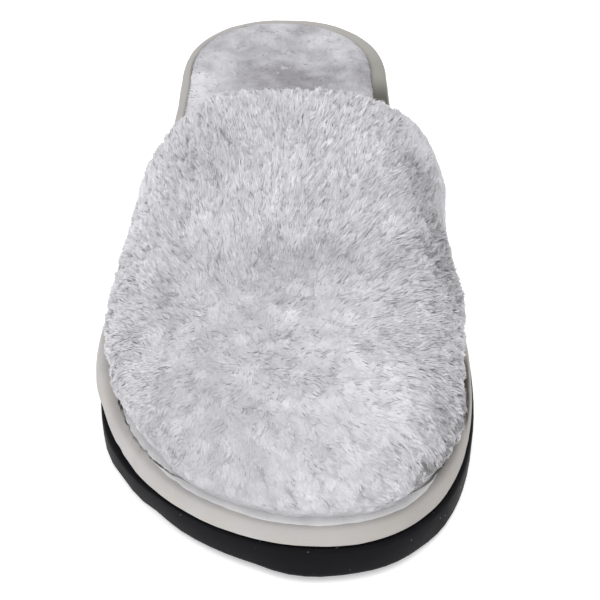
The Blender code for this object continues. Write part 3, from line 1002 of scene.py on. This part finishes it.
def add_margin(band, foot):
    """The pressed margin between pile and band, widest on the lateral side, and the dark crease line along
    it, painted shade except for the lateral seam.
    """
    tree = surface_of(band)
    path = foot_outline("upper", foot)
    x, y = path[:, 0], path[:, 1]
    outward = unit(np.cross(np.gradient(path, axis=0), UP))
    outward *= np.sign((outward[:, :2] * (path[:, :2] - FOOT_MIDDLE)).sum(axis=1))[:, None]
    medial = ease(x, 30.0, 45.0)
    lateral = ease(-x, 18.0, 38.0)
    reach = MARGIN_OUT + MARGIN_OUT_LATERAL * ease(-x, 34.0, 46.0) + MARGIN_OUT_MEDIAL * medial
    reach += 0.15 * drift(path, 9.0, 7) + 0.2 * drift(path, 2.5, 11)
    rows = []
    for share, lift in MARGIN_PROFILE:
        out = (MARGIN_INSIDE + reach) * share - MARGIN_INSIDE
        rows.append(laid_on(tree, path + out[:, None] * outward) + lift * UP)
    margin = fleece_skin("margin_cloth", *MARGIN_CLOTH)
    add_piece("foot_margin", grid_mesh("foot_margin", np.stack(rows, axis=1)), "fleece", margin)

    # The crease lies under the pile at the toe, and at the margin's edge on both sides. It is a thin dark
    # tube of painted shade, a seam on the lateral side, and it swells to paint the shadow in the medial gap.
    gap = medial * ease(y, -100.0, -90.0) * ease(-y, 62.0, 74.0)
    uneven = 0.7 + 0.6 * drift(path, 4.0, 8) + 0.7 * drift(path, 1.3, 9) * lateral
    radii = CREASE_RADIUS * np.clip(uneven, 0.2, 1.5) * (1.0 + 0.8 * lateral + 2.0 * medial + 4.0 * gap)
    sides = np.maximum(lateral, medial)
    out = reach * sides - 0.1 * (1.0 - sides) + 0.15 * drift(path, 2.0, 10)
    centre = laid_on(tree, path + out[:, None] * outward) + (CREASE_LIFT * (1.0 - sides))[:, None] * UP
    ahead = unit(np.gradient(centre, axis=0))
    beside = unit(np.cross(ahead, UP))
    over = np.cross(beside, ahead)
    turns = np.linspace(0.0, 2 * math.pi, CREASE_SIDES + 1)[:, None]
    rings = np.cos(turns) * beside[:, None] + np.sin(turns) * over[:, None]
    tube = centre[:, None] + radii[:, None, None] * rings
    add_piece("foot_crease", grid_mesh("foot_crease", tube), "microsuede", crease_shade())


def upper_tones(places):
    """Changes of tone over the upper: patches, some of them painted light and shade, mottling, the locks'
    painted light and shade, and the partings' painted shade.
    """
    broad = patch_tones(places, UPPER_PATCHES) + 0.1 * drift(places, 12.0, 2) + 0.17 * drift(places, 5.0, 3)
    # Painted light on the locks and painted shade in the valleys between them
    broad += LOCK_SHADING * (lock_rises(places) - LOCK_EVEN_TONE)
    # Painted shade in the partings
    lines = np.zeros(len(places))
    for start, end in PARTINGS:
        distance = np.linalg.norm(places[:, :2] - nearest_on(places[:, :2], start, end), axis=1)
        lines += PARTING_SHADE * np.exp(-((distance / PARTING_WIDTH) ** 2))
    return broad, lines


def dress_upper(band, rng):
    """The upper's shell with its lining, the margin at its foot, and two coats of pile."""
    mesh = refined("upper")
    foot = foot_height("upper")
    outer = shape_upper(mesh)
    mesh.polygons.foreach_set("material_index", np.where(outer, 0, 1).astype(np.int32))
    backing = fleece_skin("fleece_backing", *FLEECE_BACKING)
    lining = fleece_skin("fleece_lining", *FLEECE_LINING)
    shell = add_piece("upper_shell", mesh, "fleece", backing, lining)
    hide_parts("upper")
    add_margin(band, foot)

    def above_margin(places):
        x, y, z = places.T
        bare = MARGIN + (MARGIN_MEDIAL - MARGIN) * hanging_at(places)
        bare += MARGIN_GAP * ease(x, 41.0, 45.0) * ease(y, -87.0, -79.0) * ease(-y, 56.0, 66.0)
        bare += MARGIN_LATERAL * ease(-x, 26.0, 36.0)
        return z - foot(y) - bare

    centres = read(mesh.polygons, "center", 3) / MM
    skin = skin_of(mesh, outer & (above_margin(centres) > 0.0))
    roots, normals = spread_roots(skin, UPPER_PILE.spacing, rng)
    tufts = vamp_tufts(roots, normals, above_margin(roots), rng)
    pile = fleece_pile("fleece_pile", FLEECE_ROOTS, FLEECE_TIPS)
    tree = surface_of(mesh)
    grow_pile("upper_pile", tufts, UPPER_PILE, tree, upper_tones, "fleece", pile, rng)
    flat = np.zeros(len(roots))
    under = tufts._replace(
        length=UNDERCOAT_LENGTH * tufts.length,
        height=flat + UNDERCOAT_HEIGHT,
        # Painted shade under the loose pile
        tones=tufts.tones - UNDERCOAT_SHADE * tufts.loose,
        loose=flat,
        pull=flat,
    )
    grow_pile("upper_undercoat", under, UNDERCOAT, tree, upper_tones, "fleece", pile, rng)


# Insole
def edge_distances(places, points, normals):
    """Distance in plan of each place from the nearest point on the pad's side."""
    sides = points[np.abs(normals[:, 2]) < STEEP]
    tree = kdtree.KDTree(len(sides))
    for number, (x, y, z) in enumerate(sides):
        tree.insert((x, y, 0.0), number)
    tree.balance()
    return np.array([tree.find((x, y, 0.0))[2] for x, y, z in places])


def insole_tones(places):
    """Changes of tone over the insole: patches that a heel has pressed, and mottling. It has no partings."""
    mottling = 0.35 * drift(places, 10.0, 6) + 0.2 * drift(places, 4.0, 5)
    return patch_tones(places, INSOLE_PATCHES) + mottling, 0.0


def dress_insole(rng):
    """The insole's pad with soft lumps and a falling edge, and the short pile on its back part."""
    mesh = refined("insole")
    pad, pad_normals = points_of(mesh), normals_of(mesh)
    inset = edge_distances(pad, pad, pad_normals)
    on_top = ease(pad_normals[:, 2], 0.2, 0.7)
    lump = INSOLE_LUMP * drift(pad, INSOLE_LUMP_SIZE, 12) * ease(inset, 0.5, 4.0)
    pad[:, 2] += on_top * (lump - INSOLE_EDGE_FALL * (1.0 - ease(inset, 1.0, 9.0)))
    move_points(mesh, pad)
    backing = fleece_skin("sock_backing", *SOCK_BACKING)
    base = add_piece("insole_pad", mesh, "sock", backing)
    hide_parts("insole")
    centres = read(mesh.polygons, "center", 3) / MM
    facing = read(mesh.polygons, "normal", 3)
    skin = skin_of(mesh, (facing[:, 2] > STEEP) & (centres[:, 1] > INSOLE_PILE_FRONT))
    roots, normals = spread_roots(skin, INSOLE_PILE.spacing, rng)
    count = len(roots)
    flat = np.zeros(count)
    nap_x = drift(roots, INSOLE_NAP_SIZE, 3)
    nap_y = drift(roots, INSOLE_NAP_SIZE, 4) + INSOLE_NAP_BACK
    naps = across(np.stack((nap_x, nap_y, flat), axis=1), normals)
    naps = turned(naps, normals, rng.normal(0.0, INSOLE_NAP_SPREAD, count))
    edge = 1.0 - ease(edge_distances(roots, pad, pad_normals), 1.0, 5.0)
    outward = np.stack((roots[:, 0], np.maximum(roots[:, 1] - HEEL_MIDDLE, 0.0), flat), axis=1)
    naps = across(naps + INSOLE_EDGE_NAP * edge[:, None] * unit(outward), normals)
    size = graded(INSOLE_TUFTS_VARY, rng.random(count))
    tones = 0.5 + rng.normal(0.0, 0.03, count)
    length, height, width = INSOLE_TUFT_LENGTH * size, INSOLE_TUFT_HEIGHT * size, INSOLE_TUFT_WIDTH * size
    tufts = Tufts(roots, normals, naps, length, height, width, tones, flat, flat, flat, flat)
    pile = fleece_pile("sock_pile", SOCK_ROOTS, SOCK_TIPS)
    grow_pile("insole_pile", tufts, INSOLE_PILE, surface_of(mesh), insole_tones, "sock", pile, rng)


# Sole
def dress_platform():
    """The platform's wrapped band, a little uneven. Returns its mesh, which carries the upper's margin."""
    mesh = refined("platform")
    points, normals = points_of(mesh), normals_of(mesh)
    points += (0.16 * drift(points, 10.0, 13) + 0.08 * drift(points, 4.0, 14))[:, None] * normals
    move_points(mesh, pressed(points, normals, BAND_PRESSES))
    band = add_piece("platform_band", mesh, "microsuede", microsuede())
    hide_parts("platform")
    return mesh


def dress_outsole():
    """The rubber sole, tucked in along its lower edge."""
    shape = welded("outsole")
    mesh = bpy.data.meshes.new("outsole_rubber")
    shape.to_mesh(mesh)
    shape.free()
    points = points_of(mesh)
    outward = np.zeros_like(points)
    outward[:, :2] = unit(points[:, :2] - FOOT_MIDDLE)
    move_points(mesh, pressed(points, outward, SOLE_PRESSES))
    mesh.shade_smooth()
    mesh.set_sharp_from_angle(angle=SHARP_EDGE)
    sole = add_piece("outsole_rubber", mesh, "rubber", rubber())
    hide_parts("outsole")


# Studio
def add_light(light):
    lamp = bpy.data.lights.new(light.name, "AREA")
    lamp.shape = "DISK"
    lamp.size = light.size * MM
    lamp.energy = light.power
    holder = bpy.data.objects.new(light.name, lamp)
    place = Vector(light.place)
    holder.location = place * MM
    holder.rotation_euler = (Vector(LIGHTS_AIM) - place).to_track_quat("-Z", "Y").to_euler()
    bpy.context.scene.collection.objects.link(holder)


def add_floor():
    corners = FLOOR_REACH * np.array(((-1, -1, 0), (1, -1, 0), (1, 1, 0), (-1, 1, 0)))
    mesh = mesh_of("floor", corners, np.array(((0, 1, 2, 3),)))
    paper = Finish("floor_paper", Roughness=0.9, Emission_Strength=FLOOR_GLOW, Emission_Color=WHITE)
    paper.colour(FLOOR_PAPER)
    mesh.materials.append(paper.material)
    floor = bpy.data.objects.new("floor", mesh)
    bpy.context.scene.collection.objects.link(floor)


def add_camera():
    lens = bpy.data.cameras.new("photo_camera")
    lens.sensor_width = SENSOR_WIDTH
    lens.lens = SENSOR_WIDTH / 2 / math.tan(CAMERA_VIEW / 2)
    camera = bpy.data.objects.new("photo_camera", lens)
    camera.location = Vector(CAMERA_PLACE) * MM
    camera.rotation_euler = (CAMERA_TILT, 0.0, 0.0)
    bpy.context.scene.collection.objects.link(camera)
    bpy.context.scene.camera = camera


def set_studio():
    scene = bpy.context.scene
    scene.view_settings.view_transform = "Standard"
    world = bpy.data.worlds.new("studio")
    world.use_nodes = True
    sky = world.node_tree.nodes["Background"]
    sky.inputs["Color"].default_value = (*WHITE, 1.0)
    sky.inputs["Strength"].default_value = SKY_STRENGTH
    scene.world = world
    add_light(KEY_LIGHT)
    add_light(FILL_LIGHT)
    add_floor()
    add_camera()


set_studio()
dress_outsole()
dress_insole(np.random.default_rng(SEED))
dress_upper(dress_platform(), np.random.default_rng(SEED + 1))
